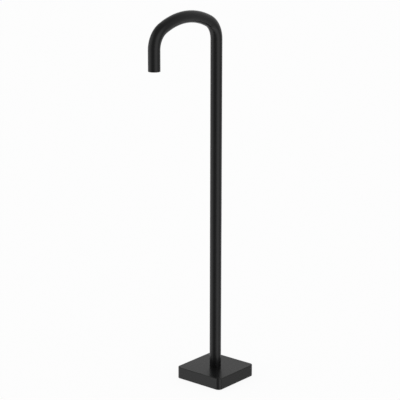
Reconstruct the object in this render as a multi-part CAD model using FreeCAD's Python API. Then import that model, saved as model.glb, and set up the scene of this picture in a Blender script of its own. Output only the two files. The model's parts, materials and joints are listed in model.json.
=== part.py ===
import FreeCAD, Part
import math
import os

# Floor standing bath filler, in millimetres, +Z up.
# The origin is on the column's axis at the floor, and the spout reaches towards -Y.

# ---- Driving dimensions ----

# Column and spout: one tube, bent to a three-centred arch, with a straight leg down.
tube_outer_radius = 16.0
tube_wall = 2.0
spout_reach = 250.0
spout_top_height = 1045.0
outlet_leg_length = 54.5
shoulder_bend_radius = 57.0
crown_bend_radius = 220.0
outlet_rim_round = 0.6

# Square cover that hides the floor fixing and slides up the column.
cover_side = 154.0
cover_height = 32.5
cover_corner_radius = 11.5
cover_edge_round = 1.5
cover_wall = 2.5
cover_top_thickness = 3.0
cover_neck_depth = 6.5
cover_neck_wall = 2.5
cover_bore_clearance = 0.3
cover_seal_section = 2.4
cover_seal_depth = 1.8

# Round steel flange that is bolted to the floor.
flange_radius = 62.0
flange_thickness = 8.0
flange_edge_chamfer = 1.0
floor_bolt_circle_radius = 50.0
floor_bolt_hole_radius = 4.5
floor_bolt_count = 4

# Brass foot: it stands on the flange and takes the supply from below.
inlet_foot_radius = 38.0
boss_radius = 15.0
boss_floor_gap = 0.5
inlet_thread_radius = 9.3155
inlet_thread_length = 11.0
inlet_relief_depth = 1.2
stem_socket_depth = 2.0

# Brass stem: it is brazed into the foot and carries the column.
stem_height_above_foot = 64.0
stem_tip_chamfer = 1.2
water_bore_radius = 6.5

# Sealing ring and sieve at the inlet.
inlet_seal_thickness = 2.0
inlet_seal_width = 2.8
inlet_seal_overlap = 0.2
inlet_sieve_thickness = 0.5
inlet_sieve_hole_radius = 0.7
inlet_sieve_hole_pitch = 2.0

# Flow regulator in the top of the stem, held by an inside circlip.
regulator_radius = 8.1
regulator_height = 8.0
regulator_floor_thickness = 1.6
regulator_rim_wall = 1.3
regulator_post_radius = 2.6
regulator_port_radius = 0.9
regulator_port_count = 10
regulator_ring_section = 1.7
regulator_setback = 4.0
clip_thickness = 1.0
clip_width = 1.5
clip_groove_depth = 0.7
clip_opening_degrees = 70.0
clip_lug_radius = 1.5
clip_lug_hole_radius = 0.6

# Sealing rings between stem and column.
stem_seal_section = 2.0
stem_seal_lower_rise = 31.0
stem_seal_upper_rise = 46.0

# Sleeve brazed into the column's foot.
sleeve_wall = 1.5
sleeve_length = 71.0
sleeve_mouth_chamfer = 0.8

# Set screws that clamp the column on the stem.
set_screw_radius = 2.5
set_screw_rise = 6.0
set_screw_count = 3
set_screw_setback = 0.2
set_screw_socket_across_flats = 2.5
set_screw_socket_depth = 2.0
set_screw_first_angle = 90.0
clamp_groove_depth = 1.5
clamp_groove_spare_width = 0.6

# Socket head screws that hold the foot down on the flange.
foot_screw_circle_radius = 31.0
foot_screw_radius = 2.5
foot_screw_reach = 6.5
foot_screw_head_radius = 4.25
foot_screw_head_height = 5.0
foot_screw_socket_across_flats = 4.0
foot_screw_socket_depth = 2.5
foot_screw_count = 4

# Threaded bush brazed into the outlet.
outlet_bush_setback = 1.0
aerator_thread_radius = 11.75
aerator_thread_length = 9.0
outlet_bush_shoulder_height = 3.0
outlet_throat_radius = 9.5

# Aerator that screws up into the bush.
aerator_setback = 2.0
aerator_washer_thickness = 1.5
aerator_washer_width = 1.7
cage_wall = 1.3
cage_lip_width = 0.9
cage_lip_height = 0.8
cage_key_slot_count = 6
cage_key_slot_width = 1.6
cage_key_slot_depth = 1.2
straightener_height = 2.5
straightener_cell_across_flats = 1.7
straightener_cell_pitch = 2.1
screen_thickness = 0.3
screen_hole_side = 0.8
screen_hole_pitch = 1.4
screen_rim_width = 0.9
diffuser_plate_thickness = 1.0
diffuser_skirt_wall = 1.0
diffuser_jet_radius = 0.5
diffuser_jet_circle_radius = 6.5
diffuser_jet_count = 16
sieve_dome_height = 2.2
sieve_dome_rim_height = 0.5
sieve_dome_wall = 0.5
sieve_dome_flat_radius = 5.0
sieve_dome_hole_radius = 0.4
sieve_dome_hole_pitch = 1.5

# Fits.
running_clearance = 0.05
braze_gap = 0.05
thread_play = 0.05
loose_fit = 0.2
seat_play = 0.02
thrust_clearance = 0.1

# ---- Worked out from the driving dimensions ----

tube_inner_radius = tube_outer_radius - tube_wall
arch_axis_height = spout_top_height - tube_outer_radius
half_reach = spout_reach / 2.0
bend_radius_step = crown_bend_radius - shoulder_bend_radius
crown_half_angle = math.asin((half_reach - shoulder_bend_radius) / bend_radius_step)
crown_centre_height = arch_axis_height - crown_bend_radius
shoulder_centre_height = crown_centre_height + bend_radius_step * math.cos(crown_half_angle)
outlet_height = shoulder_centre_height - outlet_leg_length

foot_bottom = flange_thickness
inlet_thread_top = boss_floor_gap + inlet_thread_length
inlet_relief_radius = inlet_thread_radius + inlet_relief_depth
inlet_seal_radius = inlet_thread_radius + inlet_seal_overlap
inlet_seal_top = inlet_thread_top + inlet_seal_thickness
stem_bottom = inlet_seal_top + inlet_sieve_thickness
foot_top = stem_bottom + stem_socket_depth
stem_top = foot_top + stem_height_above_foot
column_bottom = foot_top + thrust_clearance
set_screw_height = foot_top + set_screw_rise

sleeve_radius = tube_inner_radius - braze_gap
sleeve_bore_radius = sleeve_radius - sleeve_wall
stem_radius = sleeve_bore_radius - running_clearance
clamp_groove_radius = stem_radius - clamp_groove_depth

regulator_bore_radius = regulator_radius + seat_play
regulator_top = stem_top - regulator_setback
regulator_bottom = regulator_top - regulator_height
clip_groove_bottom = regulator_top
clip_groove_top = clip_groove_bottom + clip_thickness + 2.0 * seat_play

neck_radius = (
    tube_outer_radius + running_clearance + cover_seal_section + running_clearance + cover_neck_wall
)
neck_bottom = cover_height - cover_top_thickness - cover_neck_depth

outlet_bush_bottom = outlet_height + outlet_bush_setback
washer_top = outlet_bush_bottom + aerator_thread_length
outlet_bush_top = washer_top + outlet_bush_shoulder_height
washer_bottom = washer_top - aerator_washer_thickness
cage_bottom = outlet_height + aerator_setback
cage_radius = aerator_thread_radius - running_clearance
cage_bore_radius = cage_radius - cage_wall
stack_radius = cage_bore_radius - seat_play
lip_top = cage_bottom + cage_lip_height
straightener_top = lip_top + straightener_height
lower_screen_top = straightener_top + screen_thickness
upper_screen_top = lower_screen_top + screen_thickness
washer_radius = cage_radius
washer_bore_radius = washer_radius - aerator_washer_width

FULL_TURN = 360.0
QUARTER_TURN = 90.0
UP = FreeCAD.Vector(0, 0, 1)
CENTRE = FreeCAD.Vector(0, 0, 0)
# Cutting tools run this far past the faces they open.
PAST = 1.0


# ---- Shapes that several pieces use ----

def rod(radius, bottom, top, x=0.0, y=0.0):
    return Part.makeCylinder(radius, top - bottom, FreeCAD.Vector(x, y, bottom))


def hoop(outer, inner, bottom, top, x=0.0, y=0.0):
    return rod(outer, bottom, top, x, y).cut(rod(inner, bottom - PAST, top + PAST, x, y))


def cone(bottom_radius, top_radius, bottom, top):
    return Part.makeCone(bottom_radius, top_radius, top - bottom, FreeCAD.Vector(0, 0, bottom))


def seal(inner_radius, section, height):
    """Round sealing ring: section is the thickness of its cord."""
    return Part.makeTorus(inner_radius + section / 2.0, section / 2.0, FreeCAD.Vector(0, 0, height))


def polygon_rod(sides, across_flats, bottom, top, x=0.0, y=0.0):
    corner_radius = across_flats / 2.0 / math.cos(math.pi / sides)
    corners = []
    for side in range(sides + 1):
        angle = 2.0 * math.pi * (side + 0.5) / sides
        corner_x = x + corner_radius * math.cos(angle)
        corner_y = y + corner_radius * math.sin(angle)
        corners.append(FreeCAD.Vector(corner_x, corner_y, bottom))
    return Part.Face(Part.makePolygon(corners)).extrude(UP * (top - bottom))


def around_axis(shape, count, first_angle=0.0):
    """Copies of a shape, evenly turned about the column's axis."""
    copies = []
    for index in range(count):
        copy = shape.copy()
        copy.rotate(CENTRE, UP, first_angle + FULL_TURN * index / count)
        copies.append(copy)
    return copies


def grid_places(pitch, reach, hexagonal):
    """Places of a hexagonal or square grid that lie within reach of the centre."""
    row_pitch = pitch * math.sqrt(3.0) / 2.0 if hexagonal else pitch
    rows = int(reach / row_pitch)
    columns = int(reach / pitch) + 1
    places = []
    for row in range(-rows, rows + 1):
        shift = pitch / 2.0 if hexagonal and row % 2 else 0.0
        for column in range(-columns, columns + 1):
            x = column * pitch + shift
            y = row * row_pitch
            if math.hypot(x, y) <= reach:
                places.append((x, y))
    return places


def moved_to_outlet(shape):
    """Outlet pieces are drawn on the column's axis and stand under the end of the spout."""
    moved = shape.copy()
    moved.translate(FreeCAD.Vector(0, -spout_reach, 0))
    return moved


# ---- Floor base ----

def floor_flange():
    plate = rod(flange_radius, 0.0, flange_thickness)
    rim = [edge for edge in plate.Edges if edge.BoundBox.ZMin > flange_thickness / 2.0]
    plate = plate.makeChamfer(flange_edge_chamfer, rim)
    centre_hole = rod(boss_radius + loose_fit, -PAST, flange_thickness + PAST)
    bolt_hole = rod(floor_bolt_hole_radius, -PAST, flange_thickness + PAST, floor_bolt_circle_radius)
    bolt_holes = around_axis(bolt_hole, floor_bolt_count, FULL_TURN / floor_bolt_count / 2.0)
    tapped_hole = rod(
        foot_screw_radius + thread_play,
        foot_bottom - foot_screw_reach - loose_fit,
        flange_thickness + PAST,
        foot_screw_circle_radius,
    )
    tapped_holes = around_axis(tapped_hole, foot_screw_count)
    return plate.cut([centre_hole] + bolt_holes + tapped_holes)


def inlet_foot():
    """Round foot with the supply thread in its boss and the stem's socket on top."""
    foot = rod(inlet_foot_radius, foot_bottom, foot_top)
    boss = rod(boss_radius, boss_floor_gap, foot_top)
    thread = rod(inlet_thread_radius, boss_floor_gap - PAST, inlet_thread_top)
    relief = rod(inlet_relief_radius, inlet_thread_top, stem_bottom)
    socket = rod(stem_radius + braze_gap, stem_bottom, foot_top + PAST)
    screw_hole = rod(
        foot_screw_radius + loose_fit, foot_bottom - PAST, foot_top + PAST, foot_screw_circle_radius
    )
    screw_holes = around_axis(screw_hole, foot_screw_count)
    return foot.fuse(boss).removeSplitter().cut([thread, relief, socket] + screw_holes)


def spigot_stem():
    stem = rod(stem_radius, stem_bottom, stem_top - stem_tip_chamfer)
    tip = cone(stem_radius, stem_radius - stem_tip_chamfer, stem_top - stem_tip_chamfer, stem_top)
    groove_half = set_screw_radius + clamp_groove_spare_width / 2.0
    clamp_groove = hoop(
        stem_radius + PAST,
        clamp_groove_radius,
        set_screw_height - groove_half,
        set_screw_height + groove_half,
    )
    cuts = [clamp_groove]
    for rise in (stem_seal_lower_rise, stem_seal_upper_rise):
        cuts.append(stem_seal_groove(foot_top + rise))
    cuts.append(rod(water_bore_radius, stem_bottom - PAST, stem_top + PAST))
    cuts.append(rod(regulator_bore_radius, regulator_bottom, stem_top + PAST))
    cuts.append(rod(regulator_bore_radius + clip_groove_depth, clip_groove_bottom, clip_groove_top))
    return stem.fuse(tip).removeSplitter().cut(cuts)


def stem_seal_groove(height):
    half_width = stem_seal_section / 2.0 + loose_fit
    return hoop(
        stem_radius + PAST,
        stem_seal_inner_radius() - seat_play,
        height - half_width,
        height + half_width,
    )


def stem_seal_inner_radius():
    return sleeve_bore_radius - running_clearance - stem_seal_section


def foot_screws():
    head_bottom = foot_top
    head_top = head_bottom + foot_screw_head_height
    shank = rod(foot_screw_radius, foot_bottom - foot_screw_reach, head_bottom, foot_screw_circle_radius)
    head = rod(foot_screw_head_radius, head_bottom, head_top, foot_screw_circle_radius)
    socket = polygon_rod(
        6,
        foot_screw_socket_across_flats,
        head_top - foot_screw_socket_depth,
        head_top + PAST,
        foot_screw_circle_radius,
    )
    screw = shank.fuse(head).cut(socket)
    return Part.makeCompound(around_axis(screw, foot_screw_count))


def inlet_seal():
    inner = inlet_seal_radius - inlet_seal_width
    return hoop(inlet_seal_radius, inner, inlet_thread_top, inlet_seal_top)


def inlet_sieve():
    """Perforated disc, small enough to pass the thread."""
    disc = rod(inlet_thread_radius - loose_fit, inlet_seal_top, stem_bottom)
    reach = water_bore_radius - inlet_sieve_hole_radius
    holes = []
    for x, y in grid_places(inlet_sieve_hole_pitch, reach, True):
        holes.append(rod(inlet_sieve_hole_radius, inlet_seal_top - PAST, stem_bottom + PAST, x, y))
    return disc.cut(holes)


def regulator_body():
    body = rod(regulator_radius, regulator_bottom, regulator_top)
    channel = hoop(
        regulator_radius - regulator_rim_wall,
        regulator_post_radius,
        regulator_bottom + regulator_floor_thickness,
        regulator_top + PAST,
    )
    port_circle_radius = regulator_post_radius + regulator_port_radius + regulator_ring_section / 2.0
    port = rod(regulator_port_radius, regulator_bottom - PAST, regulator_top, port_circle_radius)
    return body.cut([channel] + around_axis(port, regulator_port_count))


def regulator_ring():
    """Rubber ring that swells over the ports as the pressure rises."""
    height = regulator_bottom + regulator_floor_thickness + regulator_ring_section / 2.0
    return seal(regulator_post_radius + seat_play, regulator_ring_section, height)


def regulator_clip():
    """Inside circlip with its opening towards the spout and a lug at each end."""
    bottom = clip_groove_bottom + seat_play
    top = bottom + clip_thickness
    outer = regulator_bore_radius + clip_groove_depth - seat_play
    inner = outer - clip_width
    half_opening = math.radians(clip_opening_degrees / 2.0)
    far = outer + PAST
    corner = far * math.tan(half_opening)
    wedge_outline = Part.makePolygon([
        FreeCAD.Vector(0, 0, bottom - PAST),
        FreeCAD.Vector(-corner, -far, bottom - PAST),
        FreeCAD.Vector(corner, -far, bottom - PAST),
        FreeCAD.Vector(0, 0, bottom - PAST),
    ])
    wedge = Part.Face(wedge_outline).extrude(UP * (clip_thickness + 2.0 * PAST))
    band = hoop(outer, inner, bottom, top).cut(wedge)
    lug_circle_radius = inner - clip_lug_radius / 2.0
    lugs = []
    holes = []
    for side in (-1.0, 1.0):
        x = side * lug_circle_radius * math.sin(half_opening)
        y = -lug_circle_radius * math.cos(half_opening)
        lugs.append(rod(clip_lug_radius, bottom, top, x, y))
        holes.append(rod(clip_lug_hole_radius, bottom - PAST, top + PAST, x, y))
    return band.fuse(lugs).cut(holes).removeSplitter()


def stem_seal(rise):
    return seal(stem_seal_inner_radius(), stem_seal_section, foot_top + rise)


# ---- Column and spout ----

def arc_point(centre_y, centre_z, radius, angle):
    return FreeCAD.Vector(0, centre_y + radius * math.cos(angle), centre_z + radius * math.sin(angle))


def arc_edge(centre_y, centre_z, radius, first_angle, last_angle):
    middle_angle = (first_angle + last_angle) / 2.0
    return Part.Arc(
        arc_point(centre_y, centre_z, radius, first_angle),
        arc_point(centre_y, centre_z, radius, middle_angle),
        arc_point(centre_y, centre_z, radius, last_angle),
    ).toShape()


def spout_axis():
    """Column, near shoulder, crown, far shoulder and outlet leg, each tangent to the next."""
    upright = math.pi / 2.0
    column_end = FreeCAD.Vector(0, 0, shoulder_centre_height)
    leg_start = FreeCAD.Vector(0, -spout_reach, shoulder_centre_height)
    near_y = -shoulder_bend_radius
    far_y = -spout_reach + shoulder_bend_radius
    near_end = upright - crown_half_angle
    far_start = upright + crown_half_angle
    return Part.Wire([
        Part.LineSegment(FreeCAD.Vector(0, 0, column_bottom), column_end).toShape(),
        arc_edge(near_y, shoulder_centre_height, shoulder_bend_radius, 0.0, near_end),
        arc_edge(-half_reach, crown_centre_height, crown_bend_radius, near_end, far_start),
        arc_edge(far_y, shoulder_centre_height, shoulder_bend_radius, far_start, math.pi),
        Part.LineSegment(leg_start, FreeCAD.Vector(0, -spout_reach, outlet_height)).toShape(),
    ])


def set_screw_drill(radius, inner, outer):
    start = FreeCAD.Vector(inner, 0, set_screw_height)
    return Part.makeCylinder(radius, outer - inner, start, FreeCAD.Vector(1, 0, 0))


def spout_tube():
    section = rod(tube_outer_radius, column_bottom, column_bottom + PAST)
    section = section.cut(rod(tube_inner_radius, column_bottom - PAST, column_bottom + 2.0 * PAST))
    end_faces = [face for face in section.Faces if face.BoundBox.ZMax < column_bottom + PAST / 2.0]
    tube = spout_axis().makePipe(end_faces[0])
    rim = []
    for edge in tube.Edges:
        at_outlet = edge.BoundBox.ZMax < outlet_height + PAST and edge.BoundBox.YMax < -half_reach
        if at_outlet and edge.BoundBox.XMax > tube_inner_radius + tube_wall / 2.0:
            rim.append(edge)
    tube = tube.makeFillet(outlet_rim_round, rim)
    hole = set_screw_drill(set_screw_radius + thread_play, 0.0, tube_outer_radius + PAST)
    return tube.cut(around_axis(hole, set_screw_count, set_screw_first_angle))


def column_sleeve():
    top = column_bottom + sleeve_length
    sleeve = hoop(sleeve_radius, sleeve_bore_radius, column_bottom, top)
    mouth = cone(
        sleeve_bore_radius + sleeve_mouth_chamfer,
        sleeve_bore_radius,
        column_bottom,
        column_bottom + sleeve_mouth_chamfer,
    )
    hole = set_screw_drill(set_screw_radius + thread_play, 0.0, sleeve_radius + PAST)
    return sleeve.cut([mouth] + around_axis(hole, set_screw_count, set_screw_first_angle))


def column_set_screws():
    tip = clamp_groove_radius + running_clearance
    head = tube_outer_radius - set_screw_setback
    screw = set_screw_drill(set_screw_radius, tip, head)
    socket = polygon_rod(6, set_screw_socket_across_flats, 0.0, set_screw_socket_depth + PAST)
    socket.rotate(CENTRE, FreeCAD.Vector(0, 1, 0), QUARTER_TURN)
    socket.translate(FreeCAD.Vector(head - set_screw_socket_depth, 0, set_screw_height))
    screw = screw.cut(socket)
    return Part.makeCompound(around_axis(screw, set_screw_count, set_screw_first_angle))


# ---- Base cover ----

def rounded_square(side, corner_radius, bottom, top):
    half = side / 2.0
    block = Part.makeBox(side, side, top - bottom, FreeCAD.Vector(-half, -half, bottom))
    corners = [edge for edge in block.Edges if edge.BoundBox.ZLength > (top - bottom) / 2.0]
    return block.makeFillet(corner_radius, corners)


def base_cover():
    shell = rounded_square(cover_side, cover_corner_radius, 0.0, cover_height)
    top_edges = [edge for edge in shell.Edges if edge.BoundBox.ZMin > cover_height - cover_edge_round]
    shell = shell.makeFillet(cover_edge_round, top_edges)
    hollow = rounded_square(
        cover_side - 2.0 * cover_wall,
        cover_corner_radius - cover_wall,
        -PAST,
        cover_height - cover_top_thickness,
    )
    neck = rod(neck_radius, neck_bottom, cover_height - cover_top_thickness)
    bore = rod(tube_outer_radius + cover_bore_clearance, -PAST, cover_height + PAST)
    groove_half = cover_seal_section / 2.0 + running_clearance
    seal_outer = tube_outer_radius + running_clearance + cover_seal_section
    groove = rod(
        seal_outer + running_clearance,
        cover_seal_height() - groove_half,
        cover_seal_height() + groove_half,
    )
    return shell.cut(hollow).fuse(neck).cut([bore, groove])


def cover_seal_height():
    return cover_height - cover_top_thickness - cover_seal_depth - cover_seal_section / 2.0


def cover_seal():
    return seal(tube_outer_radius + running_clearance, cover_seal_section, cover_seal_height())


# ---- Outlet and aerator ----

def outlet_bush():
    body = rod(tube_inner_radius - braze_gap, outlet_bush_bottom, outlet_bush_top)
    thread = rod(aerator_thread_radius, outlet_bush_bottom - PAST, washer_top)
    throat = rod(outlet_throat_radius, outlet_bush_bottom, outlet_bush_top + PAST)
    return moved_to_outlet(body.cut([thread, throat]))


def aerator_washer():
    return moved_to_outlet(hoop(washer_radius, washer_bore_radius, washer_bottom, washer_top))


def aerator_cage():
    cage = hoop(cage_radius, cage_bore_radius, cage_bottom, washer_bottom)
    lip = hoop(cage_bore_radius, cage_bore_radius - cage_lip_width, cage_bottom, lip_top)
    slot = Part.makeBox(
        cage_wall + PAST,
        cage_key_slot_width,
        cage_key_slot_depth + PAST,
        FreeCAD.Vector(cage_bore_radius, -cage_key_slot_width / 2.0, cage_bottom - PAST),
    )
    slots = around_axis(slot, cage_key_slot_count)
    return moved_to_outlet(cage.fuse(lip).removeSplitter().cut(slots))


def aerator_straightener():
    """Honeycomb disc that the jet leaves through."""
    disc = rod(stack_radius, lip_top, straightener_top)
    open_radius = cage_bore_radius - cage_lip_width
    reach = open_radius - straightener_cell_across_flats / 2.0
    cells = []
    for x, y in grid_places(straightener_cell_pitch, reach, True):
        cells.append(
            polygon_rod(6, straightener_cell_across_flats, lip_top - PAST, straightener_top + PAST, x, y)
        )
    return moved_to_outlet(disc.cut(cells))


def aerator_screen(top, turn_degrees):
    """Square mesh with a plain rim, turned so that two screens lie crosswise."""
    bottom = top - screen_thickness
    disc = rod(stack_radius, bottom, top)
    reach = stack_radius - screen_rim_width - screen_hole_side / 2.0
    holes = []
    for x, y in grid_places(screen_hole_pitch, reach, False):
        holes.append(polygon_rod(4, screen_hole_side, bottom - PAST, top + PAST, x, y))
    screen = disc.cut(holes)
    screen.rotate(CENTRE, UP, turn_degrees)
    return moved_to_outlet(screen)


def aerator_diffuser():
    """Plate whose ring of fine jets draws in air above the screens."""
    plate = rod(stack_radius, washer_bottom - diffuser_plate_thickness, washer_bottom)
    skirt = hoop(
        stack_radius,
        stack_radius - diffuser_skirt_wall,
        upper_screen_top,
        washer_bottom - diffuser_plate_thickness,
    )
    jet = rod(
        diffuser_jet_radius,
        washer_bottom - diffuser_plate_thickness - PAST,
        washer_bottom + PAST,
        diffuser_jet_circle_radius,
    )
    body = plate.fuse(skirt).removeSplitter()
    return moved_to_outlet(body.cut(around_axis(jet, diffuser_jet_count)))


def aerator_sieve_dome():
    """Sieve over the diffuser: a flat rim inside the washer and a cone up into the throat."""
    rim_top = washer_bottom + sieve_dome_rim_height
    dome_top = rim_top + sieve_dome_height
    rim = rod(washer_bore_radius - seat_play, washer_bottom, rim_top)
    cone_radius = outlet_throat_radius - loose_fit - sieve_dome_wall
    outside = cone(cone_radius, sieve_dome_flat_radius, rim_top, dome_top)
    inside = cone(
        cone_radius - sieve_dome_wall,
        sieve_dome_flat_radius - sieve_dome_wall,
        rim_top,
        dome_top - sieve_dome_wall,
    )
    mouth = rod(cone_radius - sieve_dome_wall, washer_bottom - PAST, rim_top)
    holes = []
    reach = sieve_dome_flat_radius - sieve_dome_wall - sieve_dome_hole_radius
    for x, y in grid_places(sieve_dome_hole_pitch, reach, True):
        holes.append(rod(sieve_dome_hole_radius, dome_top - PAST, dome_top + PAST, x, y))
    return moved_to_outlet(rim.fuse(outside).cut([inside, mouth] + holes))


# ---- Pieces ----

pieces = {
    "floor_flange": floor_flange(),
    "inlet_foot": inlet_foot(),
    "foot_screws": foot_screws(),
    "spigot_stem": spigot_stem(),
    "inlet_seal": inlet_seal(),
    "inlet_sieve": inlet_sieve(),
    "regulator_body": regulator_body(),
    "regulator_ring": regulator_ring(),
    "regulator_clip": regulator_clip(),
    "stem_seal_lower": stem_seal(stem_seal_lower_rise),
    "stem_seal_upper": stem_seal(stem_seal_upper_rise),
    "spout_tube": spout_tube(),
    "column_sleeve": column_sleeve(),
    "column_set_screws": column_set_screws(),
    "base_cover": base_cover(),
    "cover_seal": cover_seal(),
    "outlet_bush": outlet_bush(),
    "aerator_washer": aerator_washer(),
    "aerator_cage": aerator_cage(),
    "aerator_straightener": aerator_straightener(),
    "aerator_screen_lower": aerator_screen(lower_screen_top, 0.0),
    "aerator_screen_upper": aerator_screen(upper_screen_top, QUARTER_TURN / 2.0),
    "aerator_diffuser": aerator_diffuser(),
    "aerator_sieve_dome": aerator_sieve_dome(),
}

os.makedirs("parts", exist_ok=True)
for name, shape in pieces.items():
    shape.exportStep("parts/" + name + ".step")
    print(name, len(shape.Solids), round(shape.Volume, 1), shape.isValid())
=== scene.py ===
import json
import math

import bpy
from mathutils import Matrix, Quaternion, Vector

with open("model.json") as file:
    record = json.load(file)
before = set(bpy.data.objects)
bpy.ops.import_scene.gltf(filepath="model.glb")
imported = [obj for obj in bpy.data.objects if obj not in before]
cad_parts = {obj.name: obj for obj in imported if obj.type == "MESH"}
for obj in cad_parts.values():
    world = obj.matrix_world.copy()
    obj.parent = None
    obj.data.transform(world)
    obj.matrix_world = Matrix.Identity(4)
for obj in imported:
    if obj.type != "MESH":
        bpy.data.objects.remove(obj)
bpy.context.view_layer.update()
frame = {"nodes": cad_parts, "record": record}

# ---- Camera: where the photograph was taken from ----

IMAGE_WIDTH = 400
FOCAL_PIXELS = 1512.0
SENSOR_WIDTH = 36.0
CAMERA_REACH = 100.0
CAMERA_PLACE = Vector((2.5248, -3.0959, 1.5726))
CAMERA_AIM = Vector((-0.0333, -0.02775, 0.5138))
CAMERA_ROLL = -0.0008


def make_camera():
    data = bpy.data.cameras.new("camera")
    data.sensor_width = SENSOR_WIDTH
    data.lens = FOCAL_PIXELS / IMAGE_WIDTH * SENSOR_WIDTH
    data.clip_end = CAMERA_REACH
    camera = bpy.data.objects.new("camera", data)
    bpy.context.scene.collection.objects.link(camera)
    look = CAMERA_AIM - CAMERA_PLACE
    camera.location = CAMERA_PLACE
    camera.rotation_mode = "QUATERNION"
    camera.rotation_quaternion = Quaternion(look, CAMERA_ROLL) @ look.to_track_quat("-Z", "Y")
    bpy.context.scene.camera = camera


# ---- Node helpers ----

# The middle of a noise, where nearly all of its values lie.
NOISE_LOW = 0.3
NOISE_HIGH = 0.7


class Tree:
    """Short names for building one node tree."""

    def __init__(self, tree):
        self.tree = tree
        tree.nodes.clear()

    def node(self, kind, inputs=None, **settings):
        made = self.tree.nodes.new(kind)
        for key, value in settings.items():
            setattr(made, key, value)
        for key, value in (inputs or {}).items():
            self.put(made.inputs[key], value)
        return made

    def put(self, socket, value):
        if isinstance(value, bpy.types.NodeSocket):
            self.tree.links.new(value, socket)
        else:
            socket.default_value = value

    def math(self, operation, first, second):
        return self.node("ShaderNodeMath", {0: first, 1: second}, operation=operation).outputs[0]

    def vector_math(self, operation, *vectors):
        return self.node("ShaderNodeVectorMath", dict(enumerate(vectors)), operation=operation)

    def mix_shaders(self, share, first, second):
        return self.node("ShaderNodeMixShader", {0: share, 1: first, 2: second}).outputs[0]

    def any_ray(self, *kinds):
        """1 for a ray of one of the kinds, and 0 for the others."""
        rays = self.node("ShaderNodeLightPath").outputs
        share = rays[kinds[0]]
        for kind in kinds[1:]:
            share = self.math("MAXIMUM", share, rays[kind])
        return share

    def noise(self, scale, detail, roughness=0.5, vector=None):
        inputs = {"Scale": scale, "Detail": detail, "Roughness": roughness}
        inputs["Vector"] = vector or self.place()
        return self.node("ShaderNodeTexNoise", inputs).outputs["Fac"]

    def place(self):
        """Position on the piece, which moves with it."""
        return self.node("ShaderNodeTexCoord").outputs["Object"]

    def stretched_place(self, scale):
        """Position on the piece. A small scale along an axis draws a noise out along it."""
        mapping = self.node("ShaderNodeMapping", {"Vector": self.place(), "Scale": scale})
        return mapping.outputs["Vector"]

    def spread(self, value, low, high):
        """Maps the middle of a noise to the range from low to high."""
        inputs = {
            "Value": value,
            "From Min": NOISE_LOW,
            "From Max": NOISE_HIGH,
            "To Min": low,
            "To Max": high,
        }
        return self.node("ShaderNodeMapRange", inputs).outputs["Result"]

    def two_tone(self, value, dark, light):
        """Maps the middle of a noise to the colours from dark to light."""
        ramp = self.node("ShaderNodeValToRGB", {"Fac": value})
        low, high = ramp.color_ramp.elements
        low.position = NOISE_LOW
        low.color = (*dark, 1.0)
        high.position = NOISE_HIGH
        high.color = (*light, 1.0)
        return ramp.outputs["Color"]

    def bump(self, height, distance, strength):
        inputs = {"Height": height, "Distance": distance, "Strength": strength}
        return self.node("ShaderNodeBump", inputs).outputs["Normal"]


def new_material(name):
    material = bpy.data.materials.new(name)
    material.use_nodes = True
    return material, Tree(material.node_tree)


def finish_surface(tree, **inputs):
    named = {key.replace("_", " "): value for key, value in inputs.items()}
    surface = tree.node("ShaderNodeBsdfPrincipled", named)
    output = tree.node("ShaderNodeOutputMaterial")
    tree.put(output.inputs["Surface"], surface.outputs[0])


# ---- Materials of the object ----

def black_coating():
    """Satin black powder coat: fine orange peel and faint cloudiness."""
    material, tree = new_material("black_coating")
    cloud = tree.noise(scale=9.0, detail=3.0)
    grain = tree.noise(scale=900.0, detail=2.0)
    peel = tree.noise(scale=420.0, detail=3.0, roughness=0.55)
    finish_surface(
        tree,
        Base_Color=tree.two_tone(
            cloud,
            dark=(0.0036, 0.0036, 0.0038),
            light=(0.0054, 0.0054, 0.0056),
        ),
        Roughness=tree.math(
            "ADD",
            tree.spread(cloud, low=0.27, high=0.32),
            tree.spread(grain, low=-0.02, high=0.02),
        ),
        Normal=tree.bump(peel, distance=0.00004, strength=0.6),
        Specular_IOR_Level=0.1,
    )
    return material


def stainless_steel():
    """Plain steel with faint upright lines."""
    material, tree = new_material("stainless_steel")
    cloud = tree.noise(scale=30.0, detail=3.0)
    upright = tree.stretched_place((1.0, 1.0, 0.05))
    lines = tree.noise(scale=1500.0, detail=2.0, roughness=0.6, vector=upright)
    finish_surface(
        tree,
        Base_Color=tree.two_tone(cloud, dark=(0.50, 0.49, 0.48), light=(0.60, 0.59, 0.57)),
        Metallic=1.0,
        Roughness=tree.spread(lines, low=0.24, high=0.38),
        Normal=tree.bump(lines, distance=0.00001, strength=0.5),
    )
    return material


def turned_brass():
    """Brass with the fine rings of a lathe about the upright axis."""
    material, tree = new_material("turned_brass")
    cloud = tree.noise(scale=40.0, detail=3.0)
    level = tree.stretched_place((0.05, 0.05, 1.0))
    rings = tree.noise(scale=3000.0, detail=1.0, vector=level)
    finish_surface(
        tree,
        Base_Color=tree.two_tone(cloud, dark=(0.62, 0.44, 0.19), light=(0.74, 0.55, 0.27)),
        Metallic=1.0,
        Roughness=tree.spread(rings, low=0.20, high=0.34),
        Normal=tree.bump(rings, distance=0.00001, strength=0.5),
    )
    return material


def seal_rubber():
    """Smooth black rubber with a fine, dull grain."""
    material, tree = new_material("seal_rubber")
    cloud = tree.noise(scale=120.0, detail=3.0)
    grain = tree.noise(scale=2500.0, detail=2.0)
    finish_surface(
        tree,
        Base_Color=tree.two_tone(cloud, dark=(0.012, 0.012, 0.012), light=(0.022, 0.022, 0.021)),
        Roughness=tree.spread(grain, low=0.5, high=0.66),
        Normal=tree.bump(grain, distance=0.00002, strength=0.5),
    )
    return material


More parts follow.
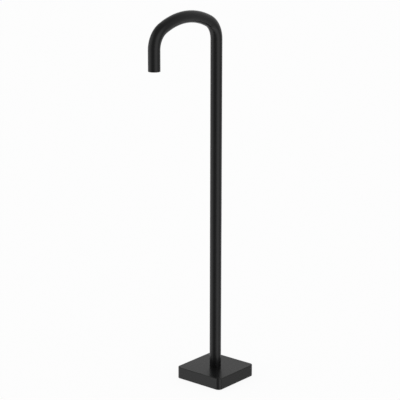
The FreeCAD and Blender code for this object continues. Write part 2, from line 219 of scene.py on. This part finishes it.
def moulded_plastic(name, dark, light):
    """Plastic with the fine, even grain of its mould."""
    material, tree = new_material(name)
    cloud = tree.noise(scale=90.0, detail=3.0)
    grain = tree.noise(scale=3000.0, detail=2.0)
    finish_surface(
        tree,
        Base_Color=tree.two_tone(cloud, dark, light),
        Roughness=tree.spread(grain, low=0.38, high=0.5),
        Normal=tree.bump(grain, distance=0.00001, strength=0.5),
    )
    return material


def dress_nodes(materials):
    """Every CAD node takes the material of its slot in the record."""
    for row in frame["record"]["subparts"]:
        mesh = frame["nodes"][row["node"]].data
        mesh.materials.clear()
        mesh.materials.append(materials[row["material_slot"]])


# ---- Floor and light ----

WHITE = (1.0, 1.0, 1.0, 1.0)
WHITE_LEVEL = 1.0
# What the world shines on the surfaces.
PLAIN_LIGHT = 0.9

FLOOR_SIDE = 60.0
FLOOR_COLOR = (0.9, 0.9, 0.9, 1.0)
# Share of plain white in what is seen of the floor. The rest shows the shadow.
FLOOR_WHITE_SHARE = 0.9

# Soft boxes that gloss sees in front of the white background. A box's bearing is in degrees
# from the outlet's side (-Y) round to +X, and its brightness is added to the white.
SOFT_BOXES = (
    {"bearing": 80.0, "half_width": 42.0, "brightness": 3.4},
    {"bearing": -44.0, "half_width": 43.0, "brightness": 2.2},
    {"bearing": 155.0, "half_width": 42.0, "brightness": 0.45},
)
# They are evenly bright up to the first angle above level, and end at the second.
BOX_FULL_ANGLE = 32.0
BOX_END_ANGLE = 56.0


def make_floor():
    """White floor with the object's shadow. Gloss sees the white world through it."""
    bpy.ops.mesh.primitive_plane_add(size=FLOOR_SIDE, location=(0.0, 0.0, 0.0))
    floor = bpy.context.object
    floor.name = "floor"
    material, tree = new_material("floor")
    shaded = tree.node("ShaderNodeBsdfDiffuse", {"Color": FLOOR_COLOR}).outputs[0]
    white = tree.node("ShaderNodeEmission", {"Color": WHITE, "Strength": WHITE_LEVEL}).outputs[0]
    clear = tree.node("ShaderNodeBsdfTransparent").outputs[0]
    share = tree.any_ray("Is Camera Ray", "Is Transmission Ray")
    share = tree.math("MULTIPLY", share, FLOOR_WHITE_SHARE)
    seen = tree.mix_shaders(share, shaded, white)
    seen = tree.mix_shaders(tree.any_ray("Is Glossy Ray"), seen, clear)
    output = tree.node("ShaderNodeOutputMaterial")
    tree.put(output.inputs["Surface"], seen)
    floor.data.materials.append(material)


def soft_boxes(tree):
    """Brightness that the soft boxes add in the direction that a ray takes."""
    direction = tree.node("ShaderNodeTexCoord").outputs["Generated"]
    parts = tree.node("ShaderNodeSeparateXYZ", {"Vector": direction}).outputs
    level = tree.node("ShaderNodeCombineXYZ", {"X": parts["X"], "Y": parts["Y"]}).outputs[0]
    level = tree.vector_math("NORMALIZE", level).outputs["Vector"]
    brightness = 0.0
    for box in SOFT_BOXES:
        bearing = math.radians(box["bearing"])
        middle = (math.sin(bearing), -math.cos(bearing), 0.0)
        glow = tree.node(
            "ShaderNodeMapRange",
            {
                "Value": tree.vector_math("DOT_PRODUCT", level, middle).outputs["Value"],
                "From Min": math.cos(math.radians(box["half_width"])),
                "From Max": 1.0,
                "To Min": 0.0,
                "To Max": box["brightness"],
            },
            interpolation_type="SMOOTHSTEP",
        )
        brightness = tree.math("ADD", brightness, glow.outputs["Result"])
    fade = tree.node(
        "ShaderNodeMapRange",
        {
            "Value": parts["Z"],
            "From Min": math.sin(math.radians(BOX_FULL_ANGLE)),
            "From Max": math.sin(math.radians(BOX_END_ANGLE)),
            "To Min": 1.0,
            "To Max": 0.0,
        },
        interpolation_type="SMOOTHSTEP",
    )
    return tree.math("MULTIPLY", brightness, fade.outputs["Result"])


def make_world():
    """White for the camera and in gloss and glass, and a plain light on the surfaces."""
    world = bpy.data.worlds.new("studio")
    world.use_nodes = True
    bpy.context.scene.world = world
    tree = Tree(world.node_tree)
    sees_white = tree.any_ray("Is Camera Ray", "Is Transmission Ray", "Is Glossy Ray")
    plain = tree.node("ShaderNodeMix", {"Factor": sees_white, "A": PLAIN_LIGHT, "B": WHITE_LEVEL})
    boxes = tree.math("MULTIPLY", tree.any_ray("Is Glossy Ray"), soft_boxes(tree))
    strength = tree.math("ADD", plain.outputs[0], boxes)
    background = tree.node("ShaderNodeBackground", {"Color": WHITE, "Strength": strength})
    output = tree.node("ShaderNodeOutputWorld")
    tree.put(output.inputs["Surface"], background.outputs[0])


make_camera()
dress_nodes({
    "black_finish": black_coating(),
    "stainless_steel": stainless_steel(),
    "brass": turned_brass(),
    "seal_rubber": seal_rubber(),
    "black_plastic": moulded_plastic(
        "black_plastic",
        dark=(0.016, 0.016, 0.017),
        light=(0.024, 0.024, 0.025),
    ),
    "inner_plastic": moulded_plastic(
        "inner_plastic",
        dark=(0.62, 0.62, 0.58),
        light=(0.72, 0.72, 0.68),
    ),
})
make_floor()
make_world()
bpy.context.scene.view_settings.view_transform = "Standard"
